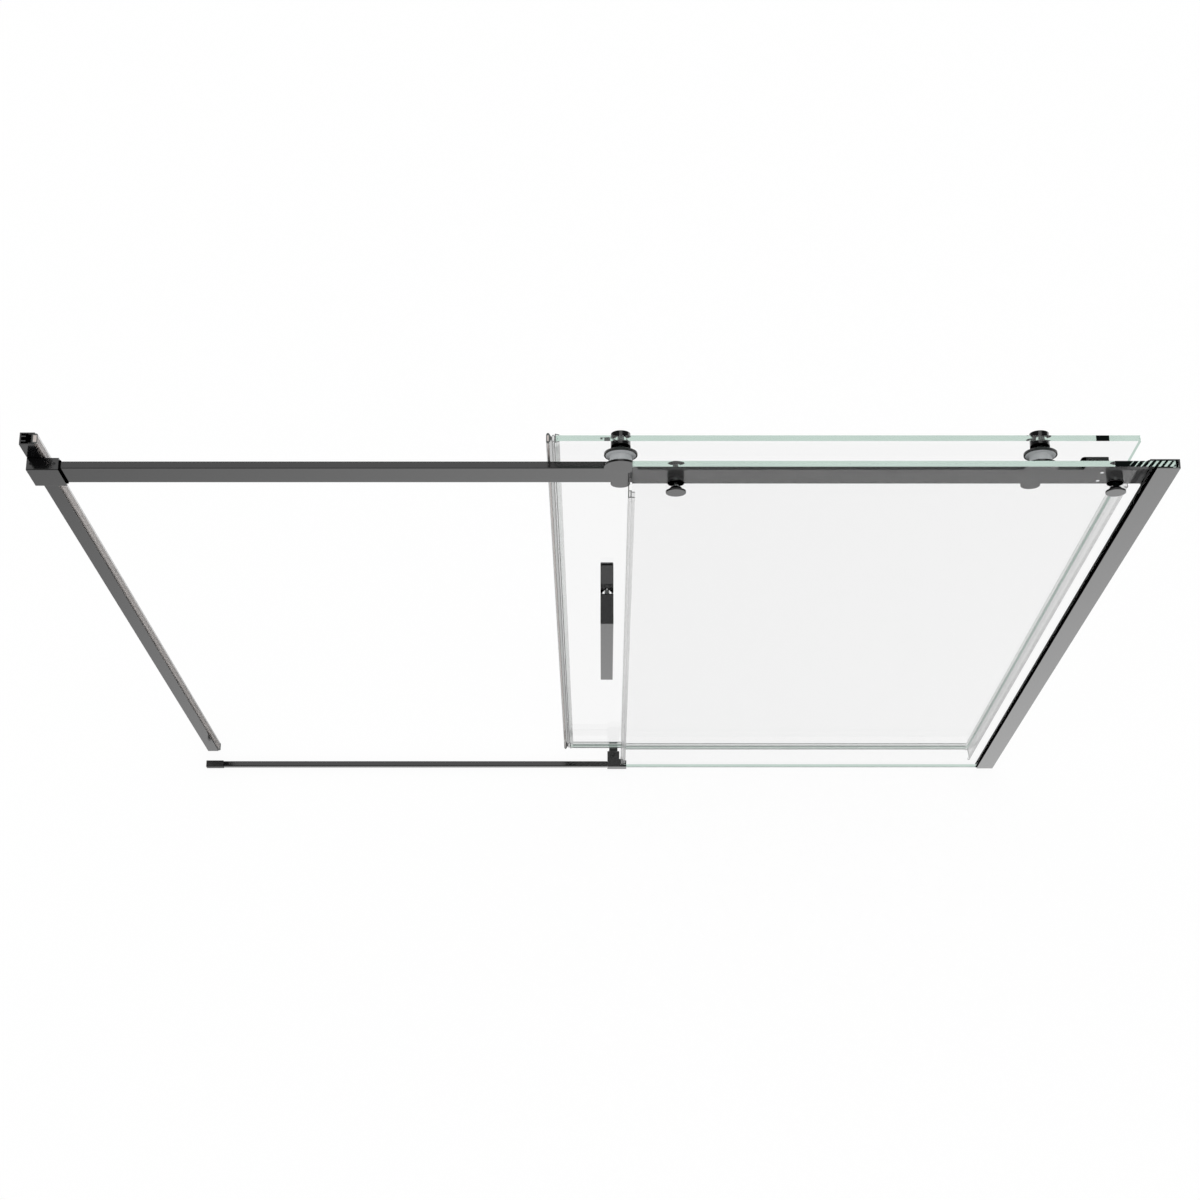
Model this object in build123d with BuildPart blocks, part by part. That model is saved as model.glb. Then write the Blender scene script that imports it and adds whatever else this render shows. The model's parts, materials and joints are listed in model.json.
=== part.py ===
from build123d import *
import os

# Sliding bathtub door: a fixed glass panel, a header bar and a glass door that rolls along it
# Millimetres: X runs along the opening with 0 in its middle, Y runs from the room to the tub with 0
# in the middle of the fixed glass, and Z runs up from the tub deck

# Overall sizes
opening_width = 1500.0
door_height = 1500.0
glass_thickness = 8.0
glass_corner_radius = 3.0
fit_gap = 0.1

# Sliding glass panel
sliding_glass_width = 757.5
sliding_glass_lift = 14.0
sliding_glass_behind_bar = 7.5

# Fixed glass panel
fixed_glass_narrower_by = 56.5
fixed_glass_lift = 3.0
glass_to_channel_back = 3.0

# Header bar and its brackets
bar_depth = 10.0
bar_height = 49.0
bar_below_glass_top = 50.0
bar_edge_radius = 0.8
spare_hole_radius = 2.5
spare_holes_from_wall = 87.5
spare_hole_spacing = 28.0
bracket_length_left = 42.0
bracket_length_right = 26.0
bracket_wall_left = 2.4
bracket_wall_right = 1.2
bracket_edge_radius = 1.0
liner_thickness = 1.2
liner_lip = 2.4
anchor_length = 10.0
anchor_to_bar_gap = 5.0
anchor_hole_radius = 2.5
anchor_hole_spacing = 28.0
bracket_screw_radius = 2.0
bracket_screw_inset = 5.5
bracket_screw_sink = 0.6

# Wall channel of the fixed glass
channel_width = 30.2
channel_wall = 1.2
channel_back = 2.0
channel_gasket_thickness = 1.0
channel_gasket_lip = 2.8
channel_gasket_depth = 20.0
wall_hole_radius = 2.5
outer_wall_hole_spacing = 1200.0
inner_wall_hole_spacing = 400.0

# Wall jamb and strike strip
jamb_width = 17.0
jamb_reach = 19.5
jamb_wall = 1.4
jamb_back = 2.0
jamb_rib_inset = 4.6
jamb_rib_reach = 8.0
jamb_below_glass_top = 3.0
jamb_behind_bracket = 0.2
insert_wall = 1.2
insert_reach = 8.0
strike_width = 12.0
strike_reach = 7.0
strike_proud = 4.0
strike_wall = 1.2
jamb_screw_radius = 1.5
jamb_screw_head_radius = 3.0
jamb_screw_spacing = 600.0

# Glass clamps that hold the fixed glass to the bar
clamp_from_left_edge = 58.0
clamp_from_right_edge = 63.5
clamp_cap_radius = 13.5
clamp_cap_thickness = 6.9
clamp_rim_thickness = 2.4
clamp_neck_radius = 7.5
cap_edge_radius = 0.6
clamp_washer_thickness = 0.5
clamp_standoff_radius = 11.0
clamp_standoff_length = 9.7
clamp_screw_radius = 3.0
clamp_head_radius = 6.5
clamp_hole_radius = 4.4
clamp_above_bar_middle = 1.5
glass_hole_radius = 7.0
sleeve_gap = 0.1

# Door stop on the bar
stop_length = 30.0
stop_height = 15.0
stop_edge_radius = 1.0
stop_screw_inset = 10.0
stop_from_wall = 83.0
bumper_length = 5.0
stop_screw_radius = 2.0
stop_screw_head_radius = 3.5
stop_screw_spacing = 10.0
stop_screw_depth = 10.0
stop_screw_head_height = 4.0

# Threshold rail and its end cap
rail_depth = 10.0
rail_height = 12.0
rail_wall = 1.5
rail_wall_gap = 15.0
end_cap_length = 32.2
end_cap_wall = 1.1

# Bottom guide
guide_width = 22.6
guide_front = 7.6
guide_back = 22.8
guide_height = 18.0
guide_top_gap = 0.5
guide_edge_radius = 1.0
guide_to_seal_gap = 2.5
guide_rail_gap = 0.2
spigot_length = 8.0
shoe_width = 13.3
pad_thickness = 0.9
guide_screw_radius = 2.5
guide_screw_head_radius = 6.0
guide_screw_from_back = 9.0
insert_width = 15.8
insert_slot_gap = 0.5
clip_back_wall = 3.0
carrier_depth = 5.2
insert_floor = 3.0
insert_foot = 0.3
tenon_width = 10.0
tenon_depth = 2.0
tenon_height = 8.0

# Clear edge seals
seal_wall = 1.1
seal_grip = 4.6
clip_root_half_width = 6.4
fixed_seal_chamber = 2.0
fixed_seal_front = 6.0
fixed_seal_back = 12.0
seal_below_bar = 6.0
bulb_reach = 4.2
bulb_half_width = 4.8
bulb_wall = 0.8
magnet_holder_reach = 7.1
magnet_holder_half_width = 7.2
magnet_width = 8.0
magnet_reach = 2.4
trailing_arm_front = 13.4
trailing_arm_lean = 3.0
trailing_hook_radius = 2.4
sweep_grip = 16.0
sweep_fin_thickness = 1.0
sweep_fin_spacing = 4.0
sweep_fin_drop = 4.4

# Rollers
roller_from_left_edge = 84.4
roller_from_right_edge = 124.5
groove_radius = 14.7
rolling_gap = 0.3
groove_floor_width = 10.8
wheel_width = 13.0
wheel_lip_radius = 20.0
disc_radius = 22.0
front_disc_thickness = 3.2
disc_edge_radius = 0.6
bearing_radius = 11.0
bearing_width = 8.0
bearing_race_radius = 6.0
bearing_clearance = 0.05
axle_radius = 4.0
axle_shoulder_radius = 5.0
axle_boss_radius = 13.0
axle_boss_thickness = 1.3
axle_clip_thickness = 0.9
axle_clip_radius = 5.6
knob_radius = 13.0
knob_length = 16.2
knob_skin = 4.0
gasket_thickness = 0.8
roller_turning_gap = 0.3
shoulder_gap = 0.4

# Anti-jump discs under the bar
anti_jump_radius = 13.2
anti_jump_length = 13.2
anti_jump_gap = 1.8
anti_jump_screw_radius = 3.0
anti_jump_cap_radius = 10.0
anti_jump_cap_length = 5.0
anti_jump_cap_skin = 2.0

# Pull handles
handle_length = 300.0
handle_width = 20.0
handle_thickness = 12.0
handle_projection = 49.0
handle_corner_radius = 10.0
handle_inner_radius = 4.0
handle_edge_bevel = 0.8
handle_centre_height = 752.0
handle_from_glass_edge = 67.4
handle_to_seal_gap = 17.5
handle_stud_radius = 3.0
handle_stud_depth = 12.0

# Places worked out from the sizes
left_wall = -opening_width / 2
right_wall = opening_width / 2
half_glass = glass_thickness / 2

fixed_right = right_wall - channel_back - glass_to_channel_back
fixed_glass_width = sliding_glass_width - fixed_glass_narrower_by
fixed_left = fixed_right - fixed_glass_width
bar_front = half_glass + clamp_washer_thickness + clamp_standoff_length
bar_back = bar_front + bar_depth
bar_middle = (bar_front + bar_back) / 2
bar_top = door_height - bar_below_glass_top
bar_bottom = bar_top - bar_height
bar_mid_height = (bar_top + bar_bottom) / 2
bar_left = left_wall + anchor_length + anchor_to_bar_gap
bar_right = right_wall - anchor_length - anchor_to_bar_gap

liner_outer_depth = bar_depth + 2 * liner_thickness
liner_outer_height = bar_height + 2 * liner_thickness
pocket_depth = liner_outer_depth + fit_gap
pocket_height = liner_outer_height + fit_gap
bracket_walls = {"left": bracket_wall_left, "right": bracket_wall_right}
bracket_tops = {
    side: bar_mid_height + pocket_height / 2 + wall for side, wall in bracket_walls.items()
}
bracket_back = bar_middle + pocket_depth / 2 + bracket_wall_left

sliding_front = bar_back + sliding_glass_behind_bar
sliding_back = sliding_front + glass_thickness
sliding_middle = (sliding_front + sliding_back) / 2

seal_arm_inner = half_glass + fit_gap
seal_arm_outer = seal_arm_inner + seal_wall
fixed_seal_web = fixed_left - fit_gap - seal_wall
fixed_seal_left = fixed_seal_web - fixed_seal_chamber - seal_wall

# The door is drawn where it stands open behind the fixed panel
handle_x = fixed_seal_left - handle_to_seal_gap - handle_width / 2
sliding_left = handle_x - handle_from_glass_edge
sliding_right = sliding_left + sliding_glass_width
seal_top_under_bar = bar_bottom - seal_below_bar

roller_z = bar_top + groove_radius + rolling_gap
roller_left_x = sliding_left + roller_from_left_edge
roller_right_x = sliding_right - roller_from_right_edge
roller_places = {"left": roller_left_x, "right": roller_right_x}
roller_centres = [(roller_left_x, roller_z), (roller_right_x, roller_z)]
wheel_front = bar_middle - wheel_width / 2
wheel_back = wheel_front + wheel_width

anti_jump_z = bar_bottom - anti_jump_gap - anti_jump_radius
anti_jump_centres = [(roller_left_x, anti_jump_z), (roller_right_x, anti_jump_z)]
anti_jump_back = sliding_front - gasket_thickness
anti_jump_front = anti_jump_back - anti_jump_length

handle_bottom = handle_centre_height - handle_length / 2
handle_top = handle_centre_height + handle_length / 2
handle_stud_centres = [
    (handle_x, handle_bottom + handle_thickness / 2),
    (handle_x, handle_top - handle_thickness / 2),
]

clamp_left_x = fixed_left + clamp_from_left_edge
clamp_right_x = fixed_right - clamp_from_right_edge
clamp_head_depth = clamp_head_radius - clamp_screw_radius
clamp_z = bar_mid_height + clamp_above_bar_middle
clamp_centres = [(clamp_left_x, clamp_z), (clamp_right_x, clamp_z)]


def upright(y):
    """Plane that stands across the opening at depth y, seen from the room."""
    return Plane.XZ.offset(-y)


def disc_stack(centres, radius, front, back, bore=0.0):
    """Round pieces with their axes along Y, from depth front to depth back."""
    with BuildSketch(upright(front)) as outline:
        with Locations(*centres):
            Circle(radius)
            if bore:
                Circle(bore, mode=Mode.SUBTRACT)
    return extrude(outline.sketch, amount=front - back)


def drill(centres, radius, front, back):
    """Round holes with their axes along Y, from depth front to depth back."""
    with BuildSketch(upright(front)) as outline:
        with Locations(*centres):
            Circle(radius)
    return extrude(outline.sketch, amount=front - back, mode=Mode.SUBTRACT)


def patch(x0, x1, y0, y1, mode=Mode.ADD):
    """Rectangle of a sketch between two corners."""
    with Locations(((x0 + x1) / 2, (y0 + y1) / 2)):
        return Rectangle(abs(x1 - x0), abs(y1 - y0), mode=mode)


def save(builder, name):
    """Label a finished piece and write its file."""
    builder.part.label = name
    export_step(builder.part, f"parts/{name}.step")


os.makedirs("parts", exist_ok=True)

# Header bar: a flat bar with clamp holes, countersunk behind, and two spare holes near its right end
spare_hole_x = right_wall - spare_holes_from_wall
spare_holes = [
    (spare_hole_x, bar_mid_height - spare_hole_spacing / 2),
    (spare_hole_x, bar_mid_height + spare_hole_spacing / 2),
]
stop_right = right_wall - stop_from_wall
stop_left = stop_right - stop_length
stop_screw_x = [
    stop_left + stop_screw_inset - stop_screw_spacing / 2,
    stop_left + stop_screw_inset + stop_screw_spacing / 2,
]
with BuildPart() as header_bar:
    with BuildSketch(Plane.YZ.offset(bar_left)):
        with Locations((bar_middle, bar_mid_height)):
            Rectangle(bar_depth, bar_height)
    extrude(amount=bar_right - bar_left)
    fillet(header_bar.edges().filter_by(Axis.X), bar_edge_radius)
    drill(clamp_centres, clamp_screw_radius + fit_gap, bar_front, bar_back)
    drill(spare_holes, spare_hole_radius, bar_front, bar_back)
    for hole_x, hole_z in clamp_centres:
        with Locations(Location((hole_x, bar_back - clamp_head_depth / 2, hole_z), (-90, 0, 0))):
            Cone(
                clamp_screw_radius + fit_gap,
                clamp_head_radius + fit_gap,
                clamp_head_depth,
                mode=Mode.SUBTRACT,
            )
    with BuildSketch(Plane.XY.offset(bar_top)):
        with Locations(*[(x, bar_middle) for x in stop_screw_x]):
            Circle(stop_screw_radius + fit_gap)
    extrude(amount=-stop_screw_depth - fit_gap, mode=Mode.SUBTRACT)
save(header_bar, "header_bar")

# Header brackets: sleeves round the bar ends, each locked by screws through its top
bracket_spans = {
    "left": (left_wall, left_wall + bracket_length_left),
    "right": (right_wall - bracket_length_right, right_wall),
}
bracket_screw_x = {
    "left": (left_wall + bracket_screw_inset, bracket_spans["left"][1] - bracket_screw_inset),
    "right": (bracket_spans["right"][0] + bracket_screw_inset, right_wall - bracket_screw_inset),
}
for side, (start, end) in bracket_spans.items():
    wall = bracket_walls[side]
    with BuildPart() as bracket:
        with BuildSketch(Plane.YZ.offset(start)):
            with Locations((bar_middle, bar_mid_height)):
                Rectangle(pocket_depth + 2 * wall, pocket_height + 2 * wall)
        extrude(amount=end - start)
        fillet(bracket.edges().filter_by(Axis.X), bracket_edge_radius)
        with BuildSketch(Plane.YZ.offset(start)):
            with Locations((bar_middle, bar_mid_height)):
                Rectangle(pocket_depth, pocket_height)
        extrude(amount=end - start, mode=Mode.SUBTRACT)
        with BuildSketch(Plane.XY.offset(bracket_tops[side])):
            with Locations(*[(x, bar_middle) for x in bracket_screw_x[side]]):
                Circle(bracket_screw_radius + fit_gap)
        extrude(amount=-wall - fit_gap, mode=Mode.SUBTRACT)
    save(bracket, f"header_bracket_{side}")

# Rubber liners between the bar and the brackets, each with a lip at the mouth
liner_spans = [
    (bar_left, bracket_spans["left"][1] + liner_lip),
    (bracket_spans["right"][0] - liner_lip, bar_right),
]
clamping_screw_x = [bracket_screw_x["left"][1], bracket_screw_x["right"][0]]
with BuildPart() as bracket_liners:
    for start, end in liner_spans:
        with BuildSketch(Plane.YZ.offset(start)):
            with Locations((bar_middle, bar_mid_height)):
                Rectangle(liner_outer_depth, liner_outer_height)
                Rectangle(bar_depth + fit_gap, bar_height + fit_gap, mode=Mode.SUBTRACT)
        extrude(amount=end - start)
    with BuildSketch(Plane.XY.offset(bar_top)):
        with Locations(*[(x, bar_middle) for x in clamping_screw_x]):
            Circle(bracket_screw_radius + fit_gap)
    extrude(amount=liner_thickness + fit_gap, mode=Mode.SUBTRACT)
save(bracket_liners, "bracket_liners")

# Wall anchors: blocks that are screwed to the walls, over which the brackets slide
with BuildPart() as wall_anchors:
    for start in (left_wall, right_wall - anchor_length):
        with BuildSketch(Plane.YZ.offset(start)):
            with Locations((bar_middle, bar_mid_height)):
                Rectangle(liner_outer_depth, liner_outer_height)
                with GridLocations(0, anchor_hole_spacing, 1, 2):
                    Circle(anchor_hole_radius, mode=Mode.SUBTRACT)
        extrude(amount=anchor_length)
save(wall_anchors, "wall_anchors")

# Set screws in the bracket tops: the outer ones hold the anchors, the inner ones hold the bar
anchor_top = bar_mid_height + liner_outer_height / 2
screw_feet = {"left": (anchor_top, bar_top), "right": (bar_top, anchor_top)}
with BuildPart() as bracket_screws:
    for side, bracket_top in bracket_tops.items():
        screw_top = bracket_top - bracket_screw_sink
        for screw_x, foot in zip(bracket_screw_x[side], screw_feet[side]):
            with BuildSketch(Plane.XY.offset(foot + fit_gap)):
                with Locations((screw_x, bar_middle)):
                    Circle(bracket_screw_radius)
            extrude(amount=screw_top - foot - fit_gap)
            with BuildSketch(Plane.XY.offset(screw_top)):
                with Locations((screw_x, bar_middle)):
                    RegularPolygon(bracket_screw_radius / 2, 6)
            extrude(amount=-bracket_screw_radius / 2, mode=Mode.SUBTRACT)
save(bracket_screws, "bracket_screws")

# Wall channel: a U profile that takes the right edge of the fixed glass
channel_left = right_wall - channel_width
channel_inner = half_glass + channel_gasket_thickness + 2 * fit_gap
channel_outer = channel_inner + channel_wall
wall_holes_z = [
    door_height / 2 - outer_wall_hole_spacing / 2,
    door_height / 2 - inner_wall_hole_spacing / 2,
    door_height / 2 + inner_wall_hole_spacing / 2,
    door_height / 2 + outer_wall_hole_spacing / 2,
]
with BuildPart() as wall_channel:
    with BuildSketch(Plane.XY):
        patch(channel_left, right_wall, -channel_outer, channel_outer)
        patch(channel_left, right_wall - channel_back, -channel_inner, channel_inner, Mode.SUBTRACT)
    extrude(amount=door_height)
    with BuildSketch(Plane.YZ.offset(right_wall)):
        with Locations(*[(0, z) for z in wall_holes_z]):
            Circle(wall_hole_radius)
    extrude(amount=-channel_back, mode=Mode.SUBTRACT)
save(wall_channel, "wall_channel")

# Channel gaskets: black strips on both faces of the glass, with lips that show at the mouth
gasket_inner = half_glass + fit_gap
gasket_outer = gasket_inner + channel_gasket_thickness
lip_left = channel_left - channel_gasket_lip
with BuildPart() as channel_gaskets:
    with BuildSketch(Plane.XY.offset(fixed_glass_lift)):
        for side in (-1, 1):
            patch(
                lip_left,
                channel_left + channel_gasket_depth,
                side * gasket_inner,
                side * gasket_outer,
            )
    extrude(amount=door_height - fixed_glass_lift)
save(channel_gaskets, "channel_gaskets")

# Jamb channel on the left wall, ribbed inside, behind the header bracket
jamb_front = bracket_back + jamb_behind_bracket
jamb_back_face = jamb_front + jamb_width
jamb_middle = (jamb_front + jamb_back_face) / 2
jamb_right = left_wall + jamb_reach
jamb_top = door_height - jamb_below_glass_top
strike_left = jamb_right + strike_proud - strike_reach
insert_left = jamb_right - insert_reach
insert_web_left = strike_left - fit_gap - insert_wall
jamb_screw_x = (insert_left + insert_web_left) / 2
with BuildPart() as jamb_channel:
    with BuildSketch(Plane.XY):
        patch(left_wall, jamb_right, jamb_front, jamb_back_face)
        patch(
            left_wall + jamb_back,
            jamb_right,
            jamb_front + jamb_wall,
            jamb_back_face - jamb_wall,
            Mode.SUBTRACT,
        )
        for rib in (jamb_front + jamb_rib_inset, jamb_back_face - jamb_rib_inset - jamb_wall):
            patch(left_wall + jamb_back, left_wall + jamb_rib_reach, rib, rib + jamb_wall)
    extrude(amount=jamb_top)
    with BuildSketch(Plane.YZ.offset(left_wall)):
        with Locations(*[(jamb_middle, z) for z in wall_holes_z]):
            Circle(wall_hole_radius)
    extrude(amount=jamb_back, mode=Mode.SUBTRACT)
    with BuildSketch(upright(jamb_back_face)):
        with Locations((jamb_screw_x, door_height / 2)):
            with GridLocations(0, jamb_screw_spacing, 1, 3):
                Circle(jamb_screw_radius + fit_gap)
    extrude(amount=jamb_wall, mode=Mode.SUBTRACT)
save(jamb_channel, "jamb_channel")

# Jamb insert: a black profile in the mouth of the channel that carries the strike strip
insert_front = jamb_front + jamb_wall + fit_gap
insert_back = jamb_back_face - jamb_wall - fit_gap
with BuildPart() as jamb_insert:
    with BuildSketch(Plane.XY):
        patch(insert_left, jamb_right, insert_front, insert_back)
        patch(
            insert_left,
            insert_web_left,
            insert_front + insert_wall,
            insert_back - insert_wall,
            Mode.SUBTRACT,
        )
        patch(
            insert_web_left + insert_wall,
            jamb_right,
            jamb_middle - strike_width / 2 - fit_gap,
            jamb_middle + strike_width / 2 + fit_gap,
            Mode.SUBTRACT,
        )
    extrude(amount=jamb_top)
    with BuildSketch(upright(insert_back)):
        with Locations((jamb_screw_x, door_height / 2)):
            with GridLocations(0, jamb_screw_spacing, 1, 3):
                Circle(jamb_screw_radius + fit_gap)
    extrude(amount=insert_wall, mode=Mode.SUBTRACT)
save(jamb_insert, "jamb_insert")

# Jamb screws: small pan head screws on the tub side that lock the insert in the channel
jamb_screw_places = [
    (jamb_screw_x, door_height / 2 + row * jamb_screw_spacing) for row in (-1, 0, 1)
]
with BuildPart() as jamb_screws:
    disc_stack(jamb_screw_places, jamb_screw_radius, insert_back - insert_wall, jamb_back_face)
    disc_stack(
        jamb_screw_places, jamb_screw_head_radius, jamb_back_face, jamb_back_face + jamb_screw_radius
    )
save(jamb_screws, "jamb_screws")

# Strike strip: a clear profile with a stem, a wider head with a round nose, and the magnet in it
strike_right = strike_left + strike_reach
strike_head_half = jamb_width / 2 - jamb_wall
with BuildPart() as strike_strip:
    with BuildSketch(Plane.XY) as strike_section:
        patch(
            jamb_right + fit_gap,
            strike_right,
            jamb_middle - strike_head_half,
            jamb_middle + strike_head_half,
        )
        fillet(strike_section.vertices().group_by(Axis.X)[-1], strike_proud / 2)
        patch(
            strike_left,
            strike_right - strike_proud / 2,
            jamb_middle - strike_width / 2,
            jamb_middle + strike_width / 2,
        )
        patch(
            strike_left + strike_wall,
            strike_right - strike_wall,
            jamb_middle - strike_width / 2 + strike_wall,
            jamb_middle + strike_width / 2 - strike_wall,
            Mode.SUBTRACT,
        )
    extrude(amount=jamb_top)
save(strike_strip, "strike_strip")

magnet_gap = strike_wall + fit_gap
with BuildPart() as strike_magnet:
    with BuildSketch(Plane.XY):
        patch(
            strike_left + magnet_gap,
            strike_right - magnet_gap,
            jamb_middle - strike_width / 2 + magnet_gap,
            jamb_middle + strike_width / 2 - magnet_gap,
        )
    extrude(amount=jamb_top)
save(strike_magnet, "strike_magnet")

# Fixed glass, with a hole for each clamp
with BuildPart() as fixed_glass:
    with BuildSketch(upright(-half_glass)) as fixed_outline:
        patch(fixed_left, fixed_right, fixed_glass_lift, door_height)
        fillet(fixed_outline.vertices(), glass_corner_radius)
        with Locations(*clamp_centres):
            Circle(clamp_hole_radius, mode=Mode.SUBTRACT)
    extrude(amount=-glass_thickness)
save(fixed_glass, "fixed_glass")

# Clear strip that closes the joint between the fixed glass and the deck
shoe_left = fixed_seal_left - guide_to_seal_gap
shoe_right = shoe_left + shoe_width
with BuildPart() as glass_bottom_strip:
    with BuildSketch(Plane.XY):
        patch(shoe_right + fit_gap, channel_left - fit_gap, -half_glass, half_glass)
    extrude(amount=fixed_glass_lift - fit_gap)
save(glass_bottom_strip, "glass_bottom_strip")

# Clear seal on the free edge of the fixed glass: a clip, a small chamber and a fin towards the door
with BuildPart() as fixed_edge_seal:
    with BuildSketch(Plane.XY.offset(guide_height + guide_top_gap)):
        for side in (-1, 1):
            patch(fixed_seal_web, fixed_left + seal_grip, side * seal_arm_inner, side * seal_arm_outer)
            patch(fixed_seal_left, fixed_seal_web, side * seal_arm_inner, side * seal_arm_outer)
        patch(fixed_seal_web, fixed_seal_web + seal_wall, -seal_arm_outer, seal_arm_outer)
        patch(fixed_seal_left, fixed_seal_left + seal_wall, -fixed_seal_front, fixed_seal_back)
    extrude(amount=seal_top_under_bar - guide_height - guide_top_gap)
save(fixed_edge_seal, "fixed_edge_seal")

# Glass clamps: cap with a cone behind its rim, washers, sleeve in the glass, standoff, and a
# countersunk screw through the bar
cap_back = -half_glass - clamp_washer_thickness
cap_front = cap_back - clamp_cap_thickness
rim_back = cap_front + clamp_rim_thickness
with BuildPart() as clamp_caps:
    disc_stack(clamp_centres, clamp_cap_radius, cap_front, rim_back)
    fillet(clamp_caps.edges().filter_by(GeomType.CIRCLE).group_by(Axis.Y)[0], cap_edge_radius)
    for hole_x, hole_z in clamp_centres:
        with Locations(Location((hole_x, (rim_back + cap_back) / 2, hole_z), (-90, 0, 0))):
            Cone(clamp_cap_radius - cap_edge_radius, clamp_neck_radius, cap_back - rim_back)
    drill(
        clamp_centres,
        clamp_screw_radius + fit_gap,
        cap_front + clamp_cap_thickness / 2,
        cap_back,
    )
save(clamp_caps, "clamp_caps")

washer_bore = clamp_screw_radius + fit_gap
with BuildPart() as clamp_washers:
    disc_stack(clamp_centres, clamp_neck_radius, cap_back, -half_glass, washer_bore)
    disc_stack(
        clamp_centres,
        clamp_standoff_radius,
        half_glass,
        half_glass + clamp_washer_thickness,
        washer_bore,
    )
save(clamp_washers, "clamp_washers")

with BuildPart() as clamp_sleeves:
    disc_stack(clamp_centres, clamp_hole_radius - sleeve_gap, -half_glass, half_glass, washer_bore)
save(clamp_sleeves, "clamp_sleeves")

with BuildPart() as clamp_standoffs:
    disc_stack(
        clamp_centres,
        clamp_standoff_radius,
        half_glass + clamp_washer_thickness,
        bar_front,
        washer_bore,
    )
save(clamp_standoffs, "clamp_standoffs")

with BuildPart() as clamp_screws:
    disc_stack(
        clamp_centres,
        clamp_screw_radius,
        cap_front + clamp_cap_thickness / 2 + fit_gap,
        bar_back - clamp_head_depth,
    )
    for hole_x, hole_z in clamp_centres:
        with Locations(Location((hole_x, bar_back - clamp_head_depth / 2, hole_z), (-90, 0, 0))):
            Cone(clamp_screw_radius, clamp_head_radius, clamp_head_depth)
    with BuildSketch(upright(bar_back)):
        with Locations(*clamp_centres):
            RegularPolygon(clamp_screw_radius * 2 / 3, 6)
    extrude(amount=clamp_head_depth, mode=Mode.SUBTRACT)
save(clamp_screws, "clamp_screws")

# Door stop on top of the bar: body, rubber bumper and two cap screws
with BuildPart() as stop_body:
    with BuildSketch(upright(bar_front)) as stop_side:
        patch(stop_left, stop_right, bar_top, bar_top + stop_height)
        fillet(stop_side.vertices().group_by(Axis.Y)[-1], stop_edge_radius)
    extrude(amount=-bar_depth)
    with BuildSketch(Plane.XY.offset(bar_top)):
        with Locations(*[(x, bar_middle) for x in stop_screw_x]):
            Circle(stop_screw_radius + fit_gap)
    extrude(amount=stop_height, mode=Mode.SUBTRACT)
    with BuildSketch(Plane.XY.offset(bar_top + stop_height)):
        with Locations(*[(x, bar_middle) for x in stop_screw_x]):
            Circle(stop_screw_head_radius + fit_gap)
    extrude(amount=-stop_screw_head_height - fit_gap, mode=Mode.SUBTRACT)
save(stop_body, "stop_body")

with BuildPart() as stop_bumper:
    with BuildSketch(upright(bar_front)) as bumper_side:
        patch(stop_left - bumper_length, stop_left, bar_top + fit_gap, bar_top + stop_height)
        fillet(
            bumper_side.vertices().group_by(Axis.X)[0].sort_by(Axis.Y)[-1:], bumper_length - fit_gap
        )
    extrude(amount=-bar_depth)
save(stop_bumper, "stop_bumper")

stop_head_top = bar_top + stop_height
with BuildPart() as stop_screws:
    with BuildSketch(Plane.XY.offset(bar_top - stop_screw_depth)):
        with Locations(*[(x, bar_middle) for x in stop_screw_x]):
            Circle(stop_screw_radius)
    extrude(amount=stop_screw_depth + stop_height - stop_screw_head_height)
    with BuildSketch(Plane.XY.offset(stop_head_top - stop_screw_head_height)):
        with Locations(*[(x, bar_middle) for x in stop_screw_x]):
            Circle(stop_screw_head_radius)
    extrude(amount=stop_screw_head_height)
    with BuildSketch(Plane.XY.offset(stop_head_top)):
        with Locations(*[(x, bar_middle) for x in stop_screw_x]):
            RegularPolygon(stop_screw_head_radius / 2, 6)
    extrude(amount=-stop_screw_head_height / 2, mode=Mode.SUBTRACT)
save(stop_screws, "stop_screws")

# Threshold rail: a low tube along the deck, and the cap that holds it at the wall
guide_left = shoe_left - guide_width
rail_left = left_wall + rail_wall_gap
rail_right = guide_left - guide_rail_gap
with BuildPart() as threshold_rail:
    with BuildSketch(Plane.YZ.offset(rail_left)) as rail_section:
        patch(-rail_depth / 2, rail_depth / 2, 0, rail_height)
        fillet(rail_section.vertices().group_by(Axis.Z)[-1], rail_wall)
        patch(
            -rail_depth / 2 + rail_wall,
            rail_depth / 2 - rail_wall,
            rail_wall,
            rail_height - rail_wall,
            Mode.SUBTRACT,
        )
    extrude(amount=rail_right - rail_left)
save(threshold_rail, "threshold_rail")

cap_half_depth = rail_depth / 2 + fit_gap + end_cap_wall
cap_height = rail_height + fit_gap + end_cap_wall
with BuildPart() as rail_end_cap:
    with BuildSketch(Plane.YZ.offset(left_wall)) as cap_section:
        patch(-cap_half_depth, cap_half_depth, 0, cap_height)
        fillet(cap_section.vertices().group_by(Axis.Z)[-1], rail_wall)
    extrude(amount=end_cap_length)
    with BuildSketch(Plane.YZ.offset(rail_left - fit_gap)):
        patch(-rail_depth / 2 - fit_gap, rail_depth / 2 + fit_gap, 0, rail_height + fit_gap)
    extrude(amount=end_cap_length - rail_wall_gap + fit_gap, mode=Mode.SUBTRACT)
save(rail_end_cap, "rail_end_cap")

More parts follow.
